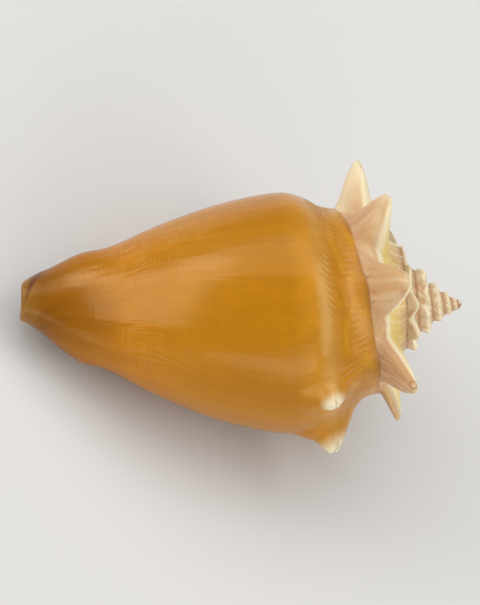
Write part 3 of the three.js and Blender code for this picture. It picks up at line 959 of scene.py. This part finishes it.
@dataclass(frozen=True)
class ShellFinish:
    """Glossy ochre last whorl, cream spire with yellow hollows and pale spines, orange-cream inside."""

    name: str = "glossy_conch"
    # Ochre across the last whorl by v / 2; the darker first stops at the suture are painted shade in its
    # crease
    whorl: Stops = (
        (0.0, (170, 116, 50)), (0.03, (190, 131, 48)), (0.16, (180, 119, 22)), (0.25, (187, 136, 58)),
        (0.34, (188, 127, 30)), (0.5, (175, 114, 13)), (0.7, (179, 116, 12)), (0.8, (180, 113, 6)),
        (0.9, (156, 96, 4)), (0.96, (130, 78, 8)), (0.985, (140, 94, 30)), (1.0, (154, 112, 58)))
    spire: Stops = (
        (0.0, (150, 104, 70)), (0.04, (204, 174, 122)), (0.14, (220, 192, 112)), (0.32, (225, 199, 114)),
        (0.42, (238, 224, 180)), (0.51, (238, 224, 186)), (0.6, (202, 164, 116)), (0.975, (194, 152, 106)),
        (1.0, (156, 104, 66)))
    old_spire: Stops = (
        (0.0, (132, 86, 60)), (0.07, (194, 156, 116)), (0.3, (228, 208, 168)), (0.5, (242, 232, 202)),
        (0.72, (222, 202, 162)), (0.95, (190, 152, 112)), (1.0, (132, 86, 60)))
    bore: Stops = (
        (0.0, (206, 134, 62)), (0.45, (230, 176, 112)), (0.8, (238, 202, 150)), (1.0, (216, 146, 72)))
    shade: tuple = (0.91, 0.89, 0.85, 1.0)
    light: tuple = (1.07, 1.06, 1.04, 1.0)
    # Pale ochre for the paler ramp patches and for painted highlights: the knob's sheen and glinting streaks
    # on the base
    pale_patch_and_highlight: Colour = (212, 158, 84)
    ramp_yellow: Colour = (204, 148, 24)
    callus: Colour = (226, 158, 92)
    youngest: Colour = (230, 214, 178)
    cloud: Colour = (190, 142, 106)
    blotch: Colour = (176, 116, 88)
    lamella: Colour = (238, 228, 196)
    speck: Colour = (132, 78, 46)
    spine: Colour = (229, 219, 184)
    spine_stain: Colour = (150, 94, 52)
    tip_stain: Colour = (84, 38, 20)
    canal_stain: Colour = (116, 62, 58)
    gloss_tint: Colour = (255, 232, 186)
    gloss: float = 0.19
    spire_gloss: float = 0.42
    inside_gloss: float = 0.16
    wear: float = 0.16
    refraction: float = 1.53
    shine: float = 0.34
    glow: float = 0.05
    glow_reach: tuple = (0.0016, 0.0009, 0.0005)
    pitting: float = 0.00012
    pits_per_metre: float = 1400.0
    ring_width: float = 0.0003
    growth_bands: Grain = Grain(30.0, 2.2, 3.0)
    growth_threads: Grain = Grain(150.0, 5.0)
    spiral_bands: Grain = Grain(6.0, 60.0)
    ramp_patches: Grain = Grain(18.0, 6.0, 3.0)
    # Glinting growth lines and cross threads of the painted highlight streaks, with their breaks
    highlight_lines: Grain = Grain(190.0, 6.0)
    highlight_line_breaks: Grain = Grain(14.0, 10.0, 1.0)
    highlight_cords: Grain = Grain(24.0, 95.0, 1.0)
    highlight_cord_breaks: Grain = Grain(60.0, 14.0, 1.0)
    tip_patches: Grain = Grain(7.0, 9.0, 3.0)
    clouds: Grain = Grain(16.0, 2.5, 3.0)
    blotches: Grain = Grain(34.0, 5.0, 3.0)
    growth_relief: Grain = Grain(260.0, 4.0, 3.0)
    spiral_relief: Grain = Grain(5.0, 80.0)
    # Where the painted highlight streaks show, and the knob's painted sheen
    highlight_streak_spots: tuple = (Spot((-0.14, 1.52), (0.11, 0.36), 0.5), Spot((-0.36, 1.6), (0.09, 0.28), 0.35))
    knob_sheen: Spot = Spot((-0.385, 0.56), (0.07, 0.17), 0.4)
    under_tip: Spot = Spot((-0.29, 1.78), (0.14, 0.18), 0.26)
    tip_edge: Spot = Spot((0.0, 1.95), (0.06, 0.05), 0.75)
    # Pale patch on a far spine: partly its own pale colour, partly painted light on its shaded face
    far_spine_pale_and_lit: Spot = Spot((-1.95, 0.82), (0.1, 0.26), 0.8)
    stained: tuple = (Spot((-1.485, 0.5), (0.04, 0.14), 0.5), Spot((-1.012, 0.57), (0.01, 0.03), 0.5))

    def make(self, resting: Resting) -> Material:
        """Write the finish's nodes for a shell that rests this way."""
        return ShellPaint(self, resting).write()


class ShellPaint(Paint):
    """Writes the shell's material; line and v say where on the grown surface a point lies."""

    def __init__(self, look: ShellFinish, resting: Resting) -> None:
        """Start the material and read the piece's UV maps.

        Args:
            look: the finish to write.
            resting: how the shell lies.
        """
        super().__init__(look.name)
        self.look = look
        self.resting = resting
        self.line, self.v = line, v = self.uv("growth")
        self.tip, self.inside = self.uv("marks")
        self.on_whorl = line.ease(-0.96, -0.6).most(v.ease(0.6, 1.1) * line.ease(-0.9, -0.82))
        self.fine = self.spread(line * 9.0, v)

    def grain(self, grain: Grain, line: Value | None = None) -> Value:
        """Streaky noise along the growth lines."""
        along = (line or self.line) * grain.along
        return self.noise(self.spread(along, self.v * grain.across), 1.0, grain.detail)

    def spots(self, *spots: Spot) -> Value:
        """Strength of the strongest of the given spots."""
        strengths = []
        for spot in spots:
            aside = (self.line - spot.at[0]) * (1 / spot.reach[0])
            above = (self.v - spot.at[1]) * (1 / spot.reach[1])
            strengths.append((aside * aside + above * above).ease(1.0, 0.0, spot.top))
        return reduce(Value.most, strengths)

    def write(self) -> Material:
        """Write the whole finish.

        Returns:
            The material.
        """
        look, on_whorl = self.look, self.on_whorl
        colour = self.spined(self.blend(on_whorl, self.spire_colour(), self.whorl_colour()))
        colour = self.blend(self.inside.ease(0.15, 0.75), colour, self.inside_colour())
        roughness = (1.0 - on_whorl) * (look.spire_gloss - look.gloss) + look.gloss
        roughness = roughness + self.noise(self.fine, 14.0, 4.0) * look.wear - look.wear / 2
        self.feed(self.shader, {
            "Base Color": colour, "Roughness": roughness - self.inside * (look.gloss - look.inside_gloss),
            "IOR": look.refraction, "Specular IOR Level": look.shine,
            "Specular Tint": screen(look.gloss_tint), "Subsurface Weight": look.glow,
            "Subsurface Radius": look.glow_reach, "Normal": self.surface()})
        return self.material

    def whorl_colour(self) -> Value:
        """Ochre of the last whorl with painted shade at the suture, growth bands, a patchy ramp, painted
        highlight streaks and sheen, and a dark front tip.

        Returns:
            The colour.
        """
        look, line, v = self.look, self.line, self.v
        shade = self.grain(look.growth_bands) * 0.3 + self.grain(look.growth_threads) * 0.12
        shade = shade + self.grain(look.spiral_bands) * 0.08
        light = self.blend(shade.ease(0.15, 0.36), look.shade, look.light)
        base = self.blend(1.0, self.ramp(v * 0.5, look.whorl), light, "MULTIPLY")
        patchy, on_ramp = self.grain(look.ramp_patches), v.ease(0.44, 0.3)
        # Yellower patches on the ramp, and paler ones in the highlight tone
        base = self.blend(on_ramp * patchy.ease(0.5, 0.66, 0.45), base, look.ramp_yellow)
        base = self.blend(on_ramp * patchy.ease(0.46, 0.32, 0.22), base, look.pale_patch_and_highlight)
        # Painted highlights: a sheen by the shoulder knob, then glinting lines and threads on the base
        base = self.blend(self.spots(look.knob_sheen), base, look.pale_patch_and_highlight)
        lines = self.grain(look.highlight_lines).ease(0.44, 0.72)
        lines = lines * self.grain(look.highlight_line_breaks).ease(0.35, 0.65)
        cords = self.grain(look.highlight_cords).ease(0.46, 0.74)
        cords = cords * self.grain(look.highlight_cord_breaks).ease(0.38, 0.66, 0.6)
        base = self.blend(lines.most(cords) * self.spots(*look.highlight_streak_spots), base, look.pale_patch_and_highlight)
        base = self.blend(line.ease(-0.74, -0.82, 0.75) * v.ease(0.9, 1.15), base, look.callus)
        base = self.blend(self.spots(look.under_tip), base, look.tip_stain)
        stain = v.ease(1.88, 1.99, 0.3) * self.grain(look.tip_patches).ease(0.42, 0.62)
        return self.blend(stain.most(self.spots(look.tip_edge)), base, look.tip_stain)

    def spire_colour(self) -> Value:
        """Cream spire: pale ridge on the shoulder, yellow hollows, pinkish clouds and brown specks low down.

        Returns:
            The colour.
        """
        look, line, v = self.look, self.line, self.v
        base = self.blend(line.ease(-2.15, -1.85), self.ramp(v, look.old_spire), self.ramp(v, look.spire))
        clouds = self.grain(look.clouds).ease(0.4, 0.64, 0.6) * (1.0 - v.hump(0.38, 0.26, 0.85))
        base = self.blend(clouds, base, look.cloud)
        base = self.blend(line.ease(-1.065, -1.02, 0.8), base, look.youngest)
        lamellae = self.noise(self.spread(line * 60.0 - v * 3.0, v * 2.0), 1.0)
        pale = lamellae.ease(0.42, 0.74) * (0.42 - v.ease(0.5, 0.62, 0.14))
        base = self.blend(pale, base, look.lamella)
        blotches = self.grain(look.blotches).ease(0.52, 0.68, 0.55) * line.ease(-1.95, -2.15)
        base = self.blend(blotches, base, look.blotch)
        low = v.ease(0.14, 0.02).most(v.ease(0.9, 1.0)).most(line.ease(-1.95, -2.2, 0.55))
        specks = self.noise(self.fine, 14.0, 4.0, 0.65).ease(0.54, 0.68) * low
        return self.blend(specks * 0.7, base, look.speck)

    def spined(self, colour: Value) -> Value:
        """Pale spines with brown stains and worn rings, and a pale patch on a far spine that is partly
        painted light on its shaded face.

        Args:
            colour: colour below the spines.

        Returns:
            The colour.
        """
        look, line, tip, on_whorl = self.look, self.line, self.tip, self.on_whorl
        start = 0.55 - on_whorl * 0.43 - line.ease(-1.62, -1.85, 0.4)
        pale = ((tip - start) * (1 / 0.45)).ease(0.0, 1.0, 0.55) * (on_whorl * 0.7 + 1.0)
        # The far spine's pale patch is partly painted light on its shaded face
        for share in (pale, self.spots(look.far_spine_pale_and_lit)):
            colour = self.blend(share, colour, look.spine)
        stains = self.noise(self.fine, 7.0, 4.0, 0.65).ease(0.58, 0.7, 0.45) * tip.ease(0.2, 0.6)
        stains = stains.most(self.spots(*look.stained))
        for worn in WORN_TIPS:
            at = tuple(self.resting.matrix() @ Vector(worn.at))
            gap = self.result("VectorMath", {0: self.place(), 1: at}, "Value", operation="DISTANCE")
            stains = stains.most(gap.hump(worn.radius * MM, look.ring_width, worn.stain))
        return self.blend(stains, colour, look.spine_stain)

    def inside_colour(self) -> Value:
        """Orange-cream inside, deeper orange far in, with a purplish brown canal."""
        canal = self.v.ease(1.78, 1.97) * self.v.ease(2.3, 2.04) * 0.45
        return self.blend(canal, self.ramp(self.line.ease(-0.7, 0.15), self.look.bore), self.look.canal_stain)

    def surface(self) -> Value:
        """Growth lines, spiral threads and fine pitting.

        Returns:
            The tilted surface direction.
        """
        look, line, v = self.look, self.line, self.v
        growth = self.grain(look.growth_relief, line + self.noise(self.spread(line, v * 3.0), 4.0) * 0.01)
        cords = self.math("SINE", v * 210.0 + growth * 2.0) * v.ease(1.4, 1.6) * v.ease(1.97, 1.9)
        height = growth * 0.7 + self.grain(look.spiral_relief) * 0.3 + cords * 0.06
        outside = 1.0 - self.inside
        normal = self.bump(height * outside, look.pitting / 2)
        pits = self.noise(self.place(), look.pits_per_metre, 3.0) * (1.0 - self.on_whorl * 0.85)
        return self.bump(pits * outside, look.pitting, Normal=normal)


@dataclass(frozen=True)
class FloorFinish:
    """Plain pale matt floor."""

    name: str = "pale_floor"
    colour: Colour = (206, 205, 203)
    clouding: int = 4
    clouds_per_metre: float = 5.0
    roughness: float = 0.75

    def make(self) -> Material:
        """Write the finish's nodes.

        Returns:
            The material.
        """
        paint = Paint(self.name)
        paler = tuple(value + self.clouding for value in self.colour)
        cloud = paint.noise(paint.place(), self.clouds_per_metre)
        colour = paint.blend(cloud, self.colour, paler)
        paint.feed(paint.shader, {"Base Color": colour, "Roughness": self.roughness})
        return paint.material


class LightRole(Enum):
    """What each soft box does."""

    KEY = "key"
    FILL = "fill"
    TOP = "top"
    LOW = "low"


@dataclass(frozen=True)
class SoftBox:
    """One rectangular soft light; its way from the shell is given as right, up and towards the camera."""

    role: LightRole
    way: tuple[float, float, float]
    distance: float
    width: float
    height: float
    watts: float


@dataclass
class Studio:
    """Floor, soft boxes and camera; the camera looks at the shell's back, as the photo does."""

    resting: Resting = field(default_factory=Resting)
    law: GrowthLaw = field(default_factory=GrowthLaw)
    floor_size: float = 6.0
    focal_length: float = 300.0
    sensor: float = 36.0
    frame_width: int = 480
    frame_height: int = 605
    millimetres_per_pixel: float = 0.2
    middle_of_shell_at: tuple[float, float] = (241.25, 303.5)
    yaw: float = 3.0
    roll: float = -0.3
    sky_strength: float = 0.3
    boxes: tuple[SoftBox, ...] = (
        SoftBox(LightRole.KEY, (0.84, 0.1, 0.54), 0.9, 0.36, 1.3, 5.1),
        SoftBox(LightRole.FILL, (-0.82, 0.4, 0.55), 0.9, 0.38, 1.1, 4.5),
        SoftBox(LightRole.TOP, (0.0, 0.95, 0.55), 1.0, 1.5, 0.8, 6.2),
        SoftBox(LightRole.LOW, (-0.1, -0.8, 0.6), 0.8, 1.2, 0.4, 3.8),
    )

    def view_turn(self) -> Matrix:
        """Rotation whose columns are the picture's right, its up and the way to the camera, on the floor."""
        yaw, roll = math.radians(self.yaw), math.radians(self.roll)
        tilt = Matrix.Rotation(yaw, 3, "Y")
        spin = Matrix.Rotation(roll, 3, "Z")
        seen = spin @ tilt
        return (seen @ self.resting.turn().transposed()).transposed()

    def target(self) -> Vector:
        """Point on the floor's frame at the middle of the picture."""
        middle = self.resting.matrix() @ Vector((self.law.length / 2, 0, 0))
        right, up, _ = self.view_turn().transposed()
        aside = (self.frame_width / 2 - self.middle_of_shell_at[0]) * self.millimetres_per_pixel * MM
        above = (self.middle_of_shell_at[1] - self.frame_height / 2) * self.millimetres_per_pixel * MM
        return middle + right * aside + up * above

    def camera(self) -> Object:
        """Make the camera and set it as the scene's camera."""
        lens = bpy.data.cameras.new("camera")
        lens.lens = self.focal_length
        lens.sensor_width = self.sensor
        lens.clip_end = 20.0
        seen_height = self.frame_height * self.millimetres_per_pixel * MM
        distance = seen_height * self.focal_length / self.sensor
        turn = self.view_turn()
        place = Matrix.Translation(self.target() + turn.col[2] * distance)
        camera = put("camera", lens, place @ turn.to_4x4())
        bpy.context.scene.camera = camera
        return camera

    def light(self, box: SoftBox) -> Object:
        """Make one soft box that faces the shell."""
        lamp = bpy.data.lights.new(f"soft_box_{box.role.value}", "AREA")
        lamp.shape = "RECTANGLE"
        lamp.size = box.width
        lamp.size_y = box.height
        lamp.energy = box.watts
        seen = self.view_turn()
        way = (seen @ Vector(box.way)).normalized()
        side = seen.col[1].cross(way).normalized()
        turn = Matrix((side, way.cross(side), way)).transposed()
        return put(lamp.name, lamp, Matrix.Translation(self.target() + way * box.distance) @ turn.to_4x4())

    def sky(self) -> None:
        """Even pale light from all round."""
        world = bpy.data.worlds.new("studio")
        world.use_nodes = True
        background = world.node_tree.nodes["Background"]
        background.inputs["Color"].default_value = (1.0, 1.0, 1.0, 1.0)
        background.inputs["Strength"].default_value = self.sky_strength
        bpy.context.scene.world = world

    def floor(self) -> Object:
        """Make the floor."""
        mesh = bmesh.new()
        bmesh.ops.create_grid(mesh, x_segments=4, y_segments=4, size=self.floor_size / 2)
        data = bpy.data.meshes.new("floor")
        mesh.to_mesh(data)
        mesh.free()
        data.materials.append(FloorFinish().make())
        floor = put("floor", data)
        return floor

    def build(self) -> None:
        """Set up the whole studio."""
        bpy.context.scene.view_settings.view_transform = "Standard"
        self.floor()
        self.sky()
        self.camera()
        for box in self.boxes:
            self.light(box)
        LOG.info("studio: floor, %d soft boxes and camera", len(self.boxes))


def main() -> None:
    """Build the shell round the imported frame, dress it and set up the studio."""
    logging.basicConfig(level=logging.INFO, format="%(message)s")
    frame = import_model()
    LOG.info("frame: nodes %s", ", ".join(sorted(frame["nodes"])))
    shell = Shell()
    piece = shell.build()
    piece.data.materials.append(ShellFinish().make(shell.resting))
    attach(piece, "root")
    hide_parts("shell")
    Studio(resting=shell.resting, law=shell.law).build()


if __name__ == "__main__":
    main()
